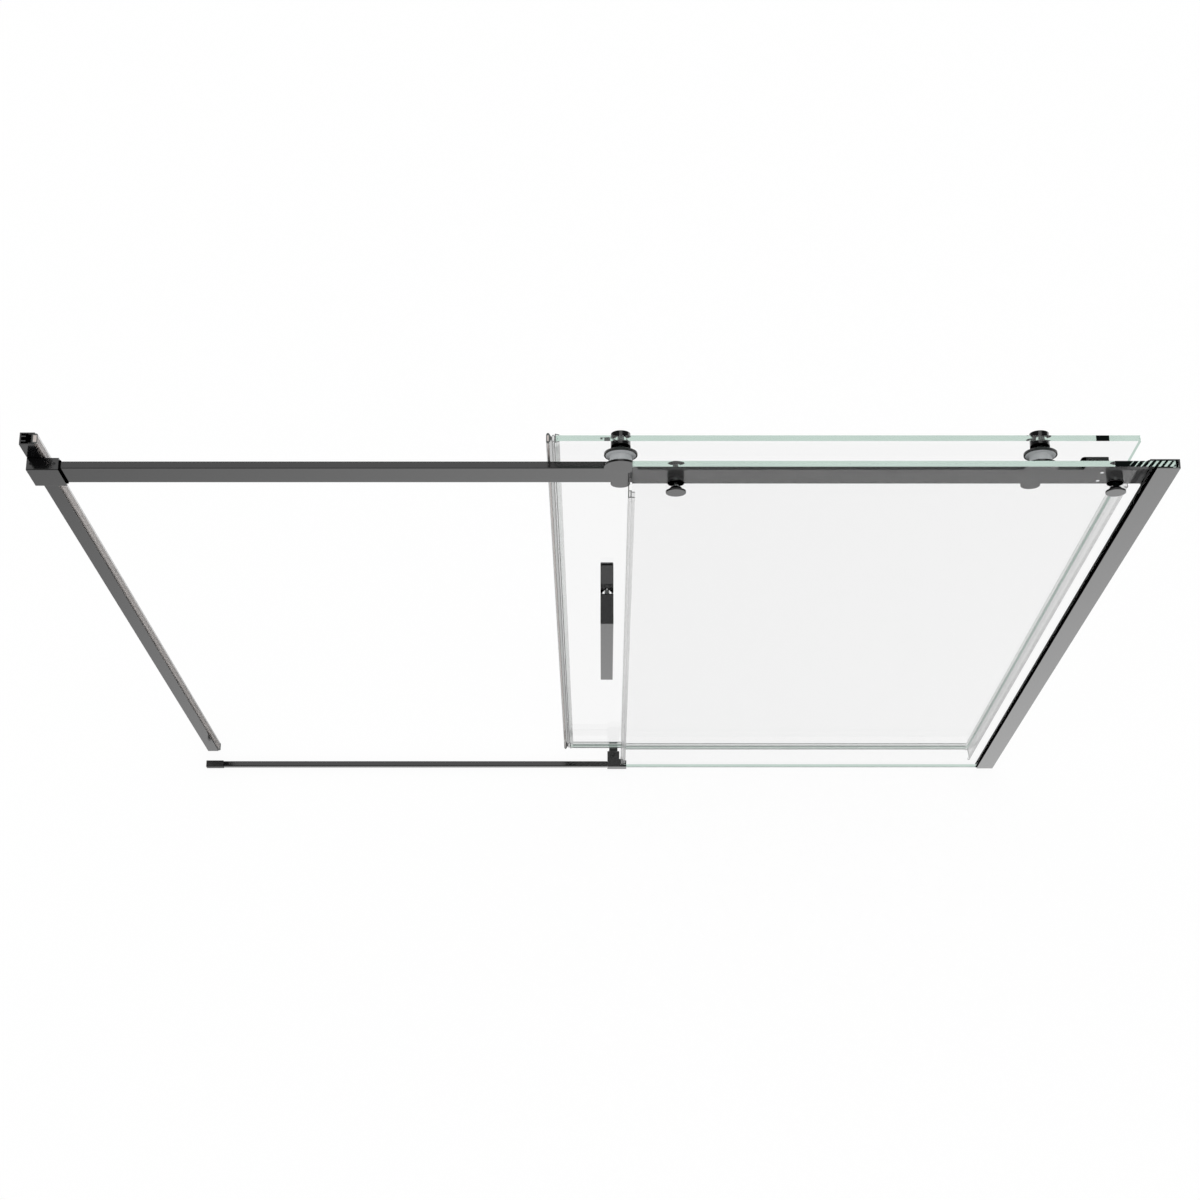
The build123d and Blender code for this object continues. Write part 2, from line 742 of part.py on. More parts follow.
# Bottom guide block: it ends the rail, holds the corner of the fixed glass and carries the guide
pad_outer = half_glass + fit_gap + pad_thickness
slot_half = pad_outer + fit_gap / 2
slot_left = fixed_left - fit_gap - pad_thickness - fit_gap / 2
guide_middle = (guide_left + shoe_left) / 2
guide_screw_y = guide_back - guide_screw_from_back
spigot_half = rail_depth / 2 - rail_wall - fit_gap
with BuildPart() as guide_block:
    with BuildSketch(Plane.XY) as guide_plan:
        patch(guide_left, shoe_left, -guide_front, guide_back)
        fillet(guide_plan.vertices().group_by(Axis.Y)[-1], guide_edge_radius)
        patch(shoe_left - guide_edge_radius, shoe_right, -guide_front, guide_front)
    extrude(amount=guide_height)
    with BuildSketch(Plane.XY.offset(fixed_glass_lift)):
        patch(slot_left, shoe_right, -slot_half, slot_half)
    extrude(amount=guide_height - fixed_glass_lift, mode=Mode.SUBTRACT)
    with BuildSketch(Plane.YZ.offset(guide_left)):
        patch(-spigot_half, spigot_half, rail_wall + fit_gap, rail_height - rail_wall - fit_gap)
    extrude(amount=-spigot_length)
    with Locations((guide_middle, guide_screw_y, guide_height)):
        CounterSinkHole(guide_screw_radius + fit_gap, guide_screw_head_radius + fit_gap)
    with BuildSketch(Plane.XY):
        patch(
            guide_middle - tenon_width / 2 - fit_gap,
            guide_middle + tenon_width / 2 + fit_gap,
            guide_back - tenon_depth - fit_gap,
            guide_back,
        )
    extrude(amount=tenon_height + fit_gap, mode=Mode.SUBTRACT)
save(guide_block, "guide_block")

# Rubber pad round the glass corner in the guide block
pad_right = shoe_right - fit_gap
pad_left = slot_left + fit_gap / 2
with BuildPart() as corner_pad:
    with BuildSketch(Plane.XY.offset(fixed_glass_lift + fit_gap)):
        patch(pad_left, pad_right, -pad_outer, pad_outer)
        patch(
            pad_left + pad_thickness,
            pad_right,
            -half_glass - fit_gap,
            half_glass + fit_gap,
            Mode.SUBTRACT,
        )
    extrude(amount=guide_height - fixed_glass_lift - 2 * fit_gap)
save(corner_pad, "corner_pad")

# Countersunk screw that holds the guide block to the deck, drawn down to the deck
screw_head_height = guide_screw_head_radius - guide_screw_radius
with BuildPart() as guide_screw:
    with BuildSketch(Plane.XY.offset(fit_gap)):
        with Locations((guide_middle, guide_screw_y)):
            Circle(guide_screw_radius)
    extrude(amount=guide_height - fit_gap - screw_head_height)
    with Locations((guide_middle, guide_screw_y, guide_height - screw_head_height / 2)):
        Cone(guide_screw_radius, guide_screw_head_radius, screw_head_height)
    with BuildSketch(Plane.XY.offset(guide_height)):
        with Locations((guide_middle, guide_screw_y)):
            RegularPolygon(guide_screw_radius * 2 / 3, 6)
    extrude(amount=-screw_head_height, mode=Mode.SUBTRACT)
save(guide_screw, "guide_screw")

# Nylon carrier on the guide block, with a tenon that locks it in the block
carrier_front = guide_back + fit_gap
carrier_back = carrier_front + carrier_depth
insert_top = guide_height - guide_top_gap
with BuildPart() as guide_insert:
    with BuildSketch(Plane.XY.offset(insert_foot)):
        patch(
            guide_middle - insert_width / 2,
            guide_middle + insert_width / 2,
            carrier_front,
            carrier_back,
        )
    extrude(amount=insert_top - insert_foot)
    with BuildSketch(Plane.XY.offset(insert_foot)):
        patch(
            guide_middle - tenon_width / 2,
            guide_middle + tenon_width / 2,
            guide_back - tenon_depth,
            carrier_front,
        )
    extrude(amount=tenon_height - insert_foot)
save(guide_insert, "guide_insert")

# Clear guide clip behind the carrier: a U in which the bottom of the sliding glass runs
slot_front = sliding_middle - seal_arm_outer - insert_slot_gap
slot_back = sliding_middle + seal_arm_outer + insert_slot_gap
with BuildPart() as guide_clip:
    with BuildSketch(Plane.YZ.offset(guide_middle - insert_width / 2)):
        patch(carrier_back + fit_gap, slot_back + clip_back_wall, insert_foot, insert_top)
        patch(slot_front, slot_back, insert_floor, insert_top, Mode.SUBTRACT)
    extrude(amount=insert_width)
save(guide_clip, "guide_clip")

# Sliding glass, with holes for the rollers, the anti-jump discs and the handles
with BuildPart() as sliding_glass:
    with BuildSketch(upright(sliding_front)) as sliding_outline:
        patch(sliding_left, sliding_right, sliding_glass_lift, door_height)
        fillet(sliding_outline.vertices(), glass_corner_radius)
        with Locations(*roller_centres, *anti_jump_centres, *handle_stud_centres):
            Circle(glass_hole_radius, mode=Mode.SUBTRACT)
    extrude(amount=-glass_thickness)
save(sliding_glass, "sliding_glass")

# Leading edge seal: a clip on the glass, a soft bulb and a holder for the magnet
leading_web_left = sliding_left - fit_gap - seal_wall
bulb_middle = leading_web_left - bulb_reach / 2
holder_right = leading_web_left - bulb_reach
holder_left = holder_right - magnet_holder_reach
holder_nose = magnet_holder_half_width - 2 * seal_wall
with BuildPart() as leading_seal:
    with BuildSketch(Plane.XY.offset(sliding_glass_lift)) as leading_section:
        for side in (-1, 1):
            with BuildLine():
                Polyline(
                    (leading_web_left, sliding_middle + side * clip_root_half_width),
                    (sliding_left + seal_grip, sliding_middle + side * seal_arm_outer),
                    (sliding_left + seal_grip, sliding_middle + side * seal_arm_inner),
                    (leading_web_left, sliding_middle + side * (clip_root_half_width - seal_wall)),
                    close=True,
                )
            make_face()
        patch(
            leading_web_left,
            leading_web_left + seal_wall,
            sliding_middle - clip_root_half_width + seal_wall / 2,
            sliding_middle + clip_root_half_width - seal_wall / 2,
        )
        with Locations((bulb_middle, sliding_middle)):
            Ellipse(bulb_reach / 2 + bulb_wall / 2, bulb_half_width)
            Ellipse(bulb_reach / 2 - bulb_wall / 2, bulb_half_width - bulb_wall, mode=Mode.SUBTRACT)
        with BuildLine():
            Polyline(
                (holder_right + bulb_wall / 4, sliding_middle - seal_wall),
                (holder_left + seal_wall + magnet_reach, sliding_middle - magnet_holder_half_width),
                (holder_left + seal_wall, sliding_middle - magnet_holder_half_width),
                (holder_left, sliding_middle - holder_nose),
                (holder_left, sliding_middle + holder_nose),
                (holder_left + seal_wall, sliding_middle + magnet_holder_half_width),
                (holder_left + seal_wall + magnet_reach, sliding_middle + magnet_holder_half_width),
                (holder_right + bulb_wall / 4, sliding_middle + seal_wall),
                close=True,
            )
        make_face()
        patch(
            holder_left + seal_wall,
            holder_left + seal_wall + magnet_reach,
            sliding_middle - magnet_width / 2,
            sliding_middle + magnet_width / 2,
            Mode.SUBTRACT,
        )
    extrude(amount=door_height - sliding_glass_lift)
save(leading_seal, "leading_seal")

with BuildPart() as leading_magnet:
    with BuildSketch(Plane.XY.offset(sliding_glass_lift)):
        patch(
            holder_left + seal_wall + fit_gap,
            holder_left + seal_wall + magnet_reach - fit_gap,
            sliding_middle - magnet_width / 2 + fit_gap,
            sliding_middle + magnet_width / 2 - fit_gap,
        )
    extrude(amount=door_height - sliding_glass_lift)
save(leading_magnet, "leading_magnet")

# Trailing edge seal: a clip on the glass and an arm with a hook that reaches for the fixed panel
trailing_web_left = sliding_right + fit_gap
trailing_web_right = trailing_web_left + seal_wall
arm_tip_x = trailing_web_right + trailing_arm_lean
trailing_bottom = sliding_glass_lift - sweep_fin_drop
with BuildPart() as trailing_seal:
    with BuildSketch(Plane.XY.offset(trailing_bottom)) as trailing_section:
        for side in (-1, 1):
            patch(
                sliding_right - seal_grip,
                trailing_web_right,
                sliding_middle + side * seal_arm_inner,
                sliding_middle + side * seal_arm_outer,
            )
        patch(
            trailing_web_left,
            trailing_web_right,
            sliding_middle - seal_arm_outer,
            sliding_middle + seal_arm_outer,
        )
        with BuildLine():
            Polyline(
                (trailing_web_left, sliding_middle - seal_arm_outer + seal_wall),
                (trailing_web_right, sliding_middle - seal_arm_outer + seal_wall),
                (arm_tip_x, trailing_arm_front),
                (arm_tip_x - seal_wall, trailing_arm_front),
                close=True,
            )
        make_face()
        with Locations((arm_tip_x - trailing_hook_radius, trailing_arm_front)):
            Circle(trailing_hook_radius)
            Circle(trailing_hook_radius - seal_wall, mode=Mode.SUBTRACT)
        patch(
            arm_tip_x - 2 * trailing_hook_radius,
            arm_tip_x - seal_wall,
            trailing_arm_front,
            trailing_arm_front + trailing_hook_radius,
            Mode.SUBTRACT,
        )
    extrude(amount=seal_top_under_bar - trailing_bottom)
save(trailing_seal, "trailing_seal")

# Bottom sweep: a clear clip under the glass with two soft fins
sweep_web_top = sliding_glass_lift - fit_gap
sweep_web_bottom = sweep_web_top - seal_wall
sweep_left = sliding_left + seal_grip + fit_gap
sweep_right = sliding_right - seal_grip - fit_gap
with BuildPart() as bottom_sweep:
    with BuildSketch(Plane.YZ.offset(sweep_left)) as sweep_section:
        for side in (-1, 1):
            patch(
                sliding_middle + side * seal_arm_inner,
                sliding_middle + side * seal_arm_outer,
                sweep_web_bottom,
                sliding_glass_lift + sweep_grip,
            )
        patch(
            sliding_middle - seal_arm_outer,
            sliding_middle + seal_arm_outer,
            sweep_web_bottom,
            sweep_web_top,
        )
        for fin in (-1, 1):
            fin_middle = sliding_middle + fin * sweep_fin_spacing / 2
            patch(
                fin_middle - sweep_fin_thickness / 2,
                fin_middle + sweep_fin_thickness / 2,
                sweep_web_bottom - sweep_fin_drop + seal_wall,
                sweep_web_bottom,
            )
    extrude(amount=sweep_right - sweep_left)
save(bottom_sweep, "bottom_sweep")

# Roller axles: a pin with a boss that seats on the glass, and a thread that the back knob holds
boss_back = sliding_front - gasket_thickness
boss_front = boss_back - axle_boss_thickness
back_disc_back = boss_front - roller_turning_gap
back_disc_front = wheel_back
bearing_front = wheel_front + front_disc_thickness / 2 + axle_clip_thickness
bearing_back = bearing_front + bearing_width
axle_front = bearing_front - axle_clip_thickness - fit_gap
knob_front = sliding_back + gasket_thickness
knob_back = knob_front + knob_length
axle_bore = axle_radius + fit_gap
sleeve_radius = glass_hole_radius - sleeve_gap
with BuildPart() as roller_axles:
    disc_stack(roller_centres, axle_radius, axle_front, knob_back - knob_skin - fit_gap)
    disc_stack(roller_centres, axle_shoulder_radius, bearing_back, boss_front)
    disc_stack(roller_centres, axle_boss_radius, boss_front, boss_back)
save(roller_axles, "roller_axles")

with BuildPart() as roller_sleeves:
    disc_stack(roller_centres, sleeve_radius, sliding_front, sliding_back, axle_bore)
save(roller_sleeves, "roller_sleeves")

with BuildPart() as roller_gaskets:
    disc_stack(roller_centres, axle_boss_radius, boss_back, sliding_front, axle_bore)
    disc_stack(roller_centres, axle_boss_radius, sliding_back, knob_front, axle_bore)
save(roller_gaskets, "roller_gaskets")

with BuildPart() as roller_knobs:
    disc_stack(roller_centres, knob_radius, knob_front, knob_back)
    fillet(roller_knobs.edges().filter_by(GeomType.CIRCLE).group_by(Axis.Y)[-1], cap_edge_radius)
    drill(roller_centres, axle_bore, knob_front, knob_back - knob_skin)
save(roller_knobs, "roller_knobs")

with BuildPart() as bearing_inner_rings:
    disc_stack(roller_centres, bearing_race_radius, bearing_front, bearing_back - fit_gap, axle_bore)
save(bearing_inner_rings, "bearing_inner_rings")

with BuildPart() as axle_clips:
    with BuildSketch(upright(bearing_front - axle_clip_thickness)):
        with Locations(*roller_centres):
            Circle(axle_clip_radius)
            Circle(axle_bore, mode=Mode.SUBTRACT)
        with Locations(*[(x, z - axle_clip_radius) for x, z in roller_centres]):
            Rectangle(axle_radius, axle_clip_radius, mode=Mode.SUBTRACT)
    extrude(amount=fit_gap - axle_clip_thickness)
save(axle_clips, "axle_clips")

# Rollers: a grooved wheel on a bearing outer ring, between two discs
race_outer = bearing_race_radius + bearing_clearance
bearing_seat = bearing_radius + bearing_clearance
shoulder_clear = axle_shoulder_radius + shoulder_gap
flare = (wheel_width - groove_floor_width) / 2
for side, wheel_x in roller_places.items():
    centre = [(wheel_x, roller_z)]
    with BuildPart() as wheel:
        with BuildSketch(Plane.YZ.offset(wheel_x)):
            with BuildLine():
                front_lip = (wheel_front, roller_z + wheel_lip_radius)
                front_floor = (wheel_front + flare, roller_z + groove_radius)
                back_floor = (wheel_back - flare, roller_z + groove_radius)
                back_lip = (wheel_back, roller_z + wheel_lip_radius)
                Polyline(
                    (wheel_front, roller_z + bearing_seat),
                    front_lip,
                    front_floor,
                    back_floor,
                    back_lip,
                    (wheel_back, roller_z + shoulder_clear),
                    (bearing_back + fit_gap, roller_z + shoulder_clear),
                    (bearing_back + fit_gap, roller_z + bearing_seat),
                    close=True,
                )
            make_face()
        revolve(axis=Axis((wheel_x, 0, roller_z), (0, 1, 0)))
    save(wheel, f"roller_wheel_{side}")

    with BuildPart() as discs:
        disc_stack(centre, disc_radius, wheel_front - front_disc_thickness, wheel_front)
        disc_stack(centre, bearing_radius, wheel_front, wheel_front + axle_clip_thickness)
        disc_stack(centre, disc_radius, back_disc_front, back_disc_back, shoulder_clear)
        rims = discs.edges().filter_by(GeomType.CIRCLE)
        outer_rims = rims.filter_by(lambda rim: abs(rim.radius - disc_radius) < fit_gap)
        fillet(outer_rims, disc_edge_radius)
    save(discs, f"roller_discs_{side}")

    with BuildPart() as outer_ring:
        disc_stack(centre, bearing_radius, bearing_front, bearing_back, race_outer)
    save(outer_ring, f"bearing_outer_{side}")

# Anti-jump discs: they sit on the glass just under the bar, so that the door can't lift off
anti_jump_bore = anti_jump_screw_radius + fit_gap
anti_jump_cap_front = sliding_back + gasket_thickness
anti_jump_cap_back = anti_jump_cap_front + anti_jump_cap_length
with BuildPart() as anti_jump_discs:
    disc_stack(anti_jump_centres, anti_jump_radius, anti_jump_front, anti_jump_back)
    front_rims = anti_jump_discs.edges().filter_by(GeomType.CIRCLE).group_by(Axis.Y)[0]
    fillet(front_rims, cap_edge_radius)
    drill(anti_jump_centres, anti_jump_bore, (anti_jump_front + anti_jump_back) / 2, anti_jump_back)
save(anti_jump_discs, "anti_jump_discs")

with BuildPart() as anti_jump_gaskets:
    disc_stack(
        anti_jump_centres, anti_jump_cap_radius, anti_jump_back, sliding_front, anti_jump_bore
    )
    disc_stack(
        anti_jump_centres, anti_jump_cap_radius, sliding_back, anti_jump_cap_front, anti_jump_bore
    )
save(anti_jump_gaskets, "anti_jump_gaskets")

with BuildPart() as anti_jump_caps:
    disc_stack(anti_jump_centres, anti_jump_cap_radius, anti_jump_cap_front, anti_jump_cap_back)
    back_rims = anti_jump_caps.edges().filter_by(GeomType.CIRCLE).group_by(Axis.Y)[-1]
    fillet(back_rims, cap_edge_radius)
    drill(anti_jump_centres, anti_jump_bore, anti_jump_cap_front, anti_jump_cap_back - anti_jump_cap_skin)
save(anti_jump_caps, "anti_jump_caps")

with BuildPart() as anti_jump_screws:
    disc_stack(
        anti_jump_centres,
        anti_jump_screw_radius,
        (anti_jump_front + anti_jump_back) / 2 + fit_gap,
        anti_jump_cap_back - anti_jump_cap_skin - fit_gap,
    )
save(anti_jump_screws, "anti_jump_screws")

# Pull handles: one U bar in front of the glass and one behind it, on common studs
handle_seats = {"front": (sliding_front, -1), "back": (sliding_back, 1)}
for side, (glass_face, away) in handle_seats.items():
    seat = glass_face + away * gasket_thickness
    face = glass_face + away * handle_projection
    with BuildPart() as handle:
        with BuildSketch(Plane.YZ.offset(handle_x - handle_width / 2)) as handle_side:
            patch(seat, face, handle_bottom, handle_top)
            outer_corners = handle_side.vertices().group_by(Axis.Y)[0 if away < 0 else -1]
            fillet(outer_corners, handle_corner_radius)
            with BuildSketch(
                Plane.YZ.offset(handle_x - handle_width / 2), mode=Mode.PRIVATE
            ) as finger_gap:
                patch(
                    seat,
                    face - away * handle_thickness,
                    handle_bottom + handle_thickness,
                    handle_top - handle_thickness,
                )
                inner_corners = finger_gap.vertices().group_by(Axis.Y)[0 if away < 0 else -1]
                fillet(inner_corners, handle_inner_radius)
            add(finger_gap.sketch_local, mode=Mode.SUBTRACT)
        extrude(amount=handle_width)
        side_faces = handle.faces().filter_by(Axis.X)
        chamfer(side_faces.edges(), handle_edge_bevel)
        drill(
            handle_stud_centres,
            handle_stud_radius + fit_gap,
            min(seat, seat + away * handle_stud_depth),
            max(seat, seat + away * handle_stud_depth),
        )
    save(handle, f"handle_{side}")

with BuildPart() as handle_studs:
    disc_stack(
        handle_stud_centres,
        handle_stud_radius,
        sliding_front - gasket_thickness - handle_stud_depth + fit_gap,
        sliding_back + gasket_thickness + handle_stud_depth - fit_gap,
    )
save(handle_studs, "handle_studs")

stud_bore = handle_stud_radius + fit_gap
with BuildPart() as handle_sleeves:
    disc_stack(handle_stud_centres, sleeve_radius, sliding_front, sliding_back, stud_bore)
save(handle_sleeves, "handle_sleeves")

with BuildPart() as handle_gaskets:
    for face in (sliding_front - gasket_thickness, sliding_back):
        with BuildSketch(upright(face)):
            with Locations(*handle_stud_centres):
                Rectangle(handle_width, handle_thickness)
                Circle(stud_bore, mode=Mode.SUBTRACT)
        extrude(amount=-gasket_thickness)
save(handle_gaskets, "handle_gaskets")
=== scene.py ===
import bpy
import json
import math
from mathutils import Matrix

# Sliding bathtub door: one fixed and one sliding glass panel on a black header bar,
# seen from the room side and from well above

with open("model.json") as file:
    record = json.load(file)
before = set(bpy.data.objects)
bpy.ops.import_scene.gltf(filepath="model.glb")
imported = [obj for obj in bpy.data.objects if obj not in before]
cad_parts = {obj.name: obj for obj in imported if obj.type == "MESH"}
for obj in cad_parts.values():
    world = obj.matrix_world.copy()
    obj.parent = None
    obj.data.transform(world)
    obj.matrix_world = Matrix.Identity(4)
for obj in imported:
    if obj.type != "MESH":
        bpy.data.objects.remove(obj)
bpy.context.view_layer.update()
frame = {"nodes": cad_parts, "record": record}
nodes = frame["nodes"]
scene = bpy.context.scene
scene.view_settings.view_transform = "Standard"
print("frame loaded:", len(nodes), "nodes")


def toLinear(hexColour):
    # sRGB hex to the linear colour that the shaders want
    values = [int(hexColour[i:i + 2], 16) / 255 for i in (1, 3, 5)]
    linear = [v / 12.92 if v <= 0.04045 else ((v + 0.055) / 1.055) ** 2.4 for v in values]
    return (*linear, 1.0)


def addNode(tree, kind, inputs=None, **settings):
    # one node with its settings; an input is a value or another node's output
    node = tree.nodes.new(kind)
    for name, value in settings.items():
        setattr(node, name, value)
    for name, value in (inputs or {}).items():
        if isinstance(value, bpy.types.NodeSocket):
            tree.links.new(value, node.inputs[name])
        else:
            node.inputs[name].default_value = value
    return node


def newMaterial(name):
    material = bpy.data.materials.new(name)
    material.use_nodes = True
    material.node_tree.nodes.clear()
    return material, material.node_tree


white = toLinear("#FFFFFF")
bandStep = 0.314               # metres from band to band of a wave texture at scale 1

# The camera stands on the room side, high above the header bar, and looks steeply down
camera = {
    "place": (0.0055, -1.1262, 4.212),
    "tiltDown": 70.877,        # degrees below the horizon
    "lens": 68.24,             # millimetres, on a sensor 36 mm wide
    "sensorWidth": 36.0,
    "shiftRight": -0.0022,
}
cameraData = bpy.data.cameras.new("camera")
cameraData.lens = camera["lens"]
cameraData.sensor_width = camera["sensorWidth"]
cameraData.shift_x = camera["shiftRight"]
cameraObject = bpy.data.objects.new("camera", cameraData)
cameraObject.location = camera["place"]
cameraObject.rotation_euler = (math.radians(90 - camera["tiltDown"]), 0, 0)
scene.collection.objects.link(cameraObject)
scene.camera = cameraObject

# A ray that enters a pane through its edge runs down between the faces, so it needs many turns
bounces = {"all": 40, "glossy": 36, "transmission": 36}
scene.cycles.max_bounces = bounces["all"]
scene.cycles.glossy_bounces = bounces["glossy"]
scene.cycles.transmission_bounces = bounces["transmission"]

studio = {
    "floorSize": 40.0,
    "floorDrop": 0.0004,       # just under the deck, so that nothing shares its plane
    "floorColour": "#FCFCFC",
    "floorGlow": 0.93,         # share of the seen floor that stays plain white
    # how bright the floor is in the black coat, a little brighter to the right
    "reflectedMiddle": 1.20,
    "reflectedPerMetre": 0.45,
    "reflectedReach": 2.0,     # metres each way in which it changes
    "worldStrength": 1.0,
    # soft lights that only the coat shows; slopes are sideways and backwards per metre of height
    "overhead": {"strength": 1.7, "halfWidth": 0.34, "from": 0.10, "to": 0.80},
    "strip": {"strength": 1.5, "halfWidth": 1.6, "from": -1.40, "to": -0.90},
    "softEdge": 0.03,          # half the blurred border of those lights, as a slope
    "lowest": 0.001,           # keeps the slopes from dividing by nothing at the horizon
    "dark": 0.12,              # the unlit room between them
}
bpy.ops.object.select_all(action="DESELECT")
bpy.ops.mesh.primitive_plane_add(size=studio["floorSize"], location=(0, 0, -studio["floorDrop"]))
floor = bpy.context.object
floor.name = "floor"
floorMaterial, tree = newMaterial("studioFloor")
lightPath = addNode(tree, "ShaderNodeLightPath")
seenClear = addNode(tree, "ShaderNodeMath", {
    0: lightPath.outputs["Is Camera Ray"], 1: lightPath.outputs["Is Transmission Ray"]}, operation="MAXIMUM")
share = addNode(tree, "ShaderNodeMath", {0: seenClear.outputs[0], 1: studio["floorGlow"]}, operation="MULTIPLY")
paint = addNode(tree, "ShaderNodeBsdfDiffuse", {"Color": toLinear(studio["floorColour"])})
plainWhite = addNode(tree, "ShaderNodeEmission", {"Strength": 1.0})
seen = addNode(tree, "ShaderNodeMixShader", {
    0: share.outputs[0], 1: paint.outputs[0], 2: plainWhite.outputs[0]})
place = addNode(tree, "ShaderNodeTexCoord")
parts = addNode(tree, "ShaderNodeSeparateXYZ", {0: place.outputs["Object"]})
change = studio["reflectedPerMetre"] * studio["reflectedReach"]
slope = addNode(tree, "ShaderNodeMapRange", {
    "Value": parts.outputs["X"], "From Min": -studio["reflectedReach"], "From Max": studio["reflectedReach"],
    "To Min": studio["reflectedMiddle"] - change, "To Max": studio["reflectedMiddle"] + change})
reflected = addNode(tree, "ShaderNodeEmission", {"Strength": slope.outputs[0]})
# a ray that has come through glass also counts as glossy, but must see the plain floor
mirrored = addNode(tree, "ShaderNodeMath", {
    0: lightPath.outputs["Is Glossy Ray"], 1: lightPath.outputs["Is Transmission Ray"]},
    operation="SUBTRACT", use_clamp=True)
mix = addNode(tree, "ShaderNodeMixShader", {
    0: mirrored.outputs[0], 1: seen.outputs[0], 2: reflected.outputs[0]})
addNode(tree, "ShaderNodeOutputMaterial", {"Surface": mix.outputs[0]})
floor.data.materials.append(floorMaterial)

world = bpy.data.worlds.new("studio")
scene.world = world
world.use_nodes = True
tree = world.node_tree
tree.nodes.clear()
lightPath = addNode(tree, "ShaderNodeLightPath")
plain = addNode(tree, "ShaderNodeBackground", {"Color": white, "Strength": studio["worldStrength"]})
place = addNode(tree, "ShaderNodeTexCoord")
parts = addNode(tree, "ShaderNodeSeparateXYZ", {0: place.outputs["Generated"]})
height = addNode(tree, "ShaderNodeMath", {0: parts.outputs["Z"], 1: studio["lowest"]}, operation="MAXIMUM")
sideways = addNode(tree, "ShaderNodeMath", {0: parts.outputs["X"], 1: height.outputs[0]}, operation="DIVIDE")
sideways = addNode(tree, "ShaderNodeMath", {0: sideways.outputs[0]}, operation="ABSOLUTE")
backwards = addNode(tree, "ShaderNodeMath", {0: parts.outputs["Y"], 1: height.outputs[0]}, operation="DIVIDE")
total = studio["dark"]
blur = studio["softEdge"]
for light in (studio["overhead"], studio["strip"]):
    middle, half = (light["from"] + light["to"]) / 2, (light["to"] - light["from"]) / 2
    across = addNode(tree, "ShaderNodeMapRange", {
        "Value": sideways.outputs[0], "From Min": light["halfWidth"] + blur,
        "From Max": light["halfWidth"] - blur, "To Min": 0.0, "To Max": light["strength"]})
    offset = addNode(tree, "ShaderNodeMath", {0: backwards.outputs[0], 1: middle}, operation="SUBTRACT")
    offset = addNode(tree, "ShaderNodeMath", {0: offset.outputs[0]}, operation="ABSOLUTE")
    along = addNode(tree, "ShaderNodeMapRange", {
        "Value": offset.outputs[0], "From Min": half + blur, "From Max": half - blur,
        "To Min": 0.0, "To Max": 1.0})
    glow = addNode(tree, "ShaderNodeMath", {0: across.outputs[0], 1: along.outputs[0]}, operation="MULTIPLY")
    total = addNode(tree, "ShaderNodeMath", {0: glow.outputs[0], 1: total}, operation="ADD").outputs[0]
reflected = addNode(tree, "ShaderNodeBackground", {"Color": white, "Strength": total})
mirrored = addNode(tree, "ShaderNodeMath", {
    0: lightPath.outputs["Is Glossy Ray"], 1: lightPath.outputs["Is Transmission Ray"]},
    operation="SUBTRACT", use_clamp=True)
mix = addNode(tree, "ShaderNodeMixShader", {
    0: mirrored.outputs[0], 1: plain.outputs[0], 2: reflected.outputs[0]})
addNode(tree, "ShaderNodeOutputWorld", {"Surface": mix.outputs[0]})
print("camera, floor and world ready")


# Satin black coat on aluminium and steel, sprayed and baked: nearly black, with a soft clear
# reflection of the pale floor that grows at the grazing angle of the front faces.
# A piece drilled after it was coated has uncoated metal in its holes; the light its walls catch is a painted
# highlight, a pale glow set on them
def satinBlackCoat(name, holesWithPaintedLight=None):
    look = {
        "colour": "#0B0B0C", "roughLow": 0.10, "roughHigh": 0.15, "ior": 1.5,
        "peel": 0.004,         # metres between the soft hills of the sprayed coat
        # painted highlight: the pale colour and strength of the glow set on the hole walls
        "bareWallPaintedLight": "#F2F3F4", "bareWallPaintedGlow": 0.9,
        "wallNormal": 0.5,     # a hole's wall faces across the piece, so its normal has less depth than this
    }
    material, tree = newMaterial(name)
    place = addNode(tree, "ShaderNodeTexCoord")
    peel = addNode(tree, "ShaderNodeTexNoise", {
        "Vector": place.outputs["Object"], "Scale": 1 / look["peel"], "Detail": 2.0})
    rough = addNode(tree, "ShaderNodeMapRange", {
        "Value": peel.outputs[0], "To Min": look["roughLow"], "To Max": look["roughHigh"]})
    shader = addNode(tree, "ShaderNodeBsdfPrincipled", {
        "Base Color": toLinear(look["colour"]), "Roughness": rough.outputs[0], "IOR": look["ior"]})
    if holesWithPaintedLight:
        spot = addNode(tree, "ShaderNodeSeparateXYZ", {0: place.outputs["Object"]})
        normal = addNode(tree, "ShaderNodeSeparateXYZ", {0: place.outputs["Normal"]})
        limits = [(normal.outputs["Y"], 0.0, look["wallNormal"])]
        limits += [(spot.outputs[axis], *holesWithPaintedLight[axis]) for axis in ("X", "Z")]
        inHole = 1.0
        for value, middle, reach in limits:
            offset = addNode(tree, "ShaderNodeMath", {0: value, 1: middle}, operation="SUBTRACT")
            offset = addNode(tree, "ShaderNodeMath", {0: offset.outputs[0]}, operation="ABSOLUTE")
            near = addNode(tree, "ShaderNodeMath", {0: offset.outputs[0], 1: reach}, operation="LESS_THAN")
            inHole = addNode(tree, "ShaderNodeMath", {0: near.outputs[0], 1: inHole},
                             operation="MULTIPLY").outputs[0]
        # painted highlight: the walls of the given holes glow pale instead of catching real light
        bareWallPaintedLight = addNode(tree, "ShaderNodeEmission", {
            "Color": toLinear(look["bareWallPaintedLight"]), "Strength": look["bareWallPaintedGlow"]})
        shader = addNode(tree, "ShaderNodeMixShader", {0: inHole, 1: shader.outputs[0], 2: bareWallPaintedLight.outputs[0]})
    addNode(tree, "ShaderNodeOutputMaterial", {"Surface": shader.outputs[0]})
    return material


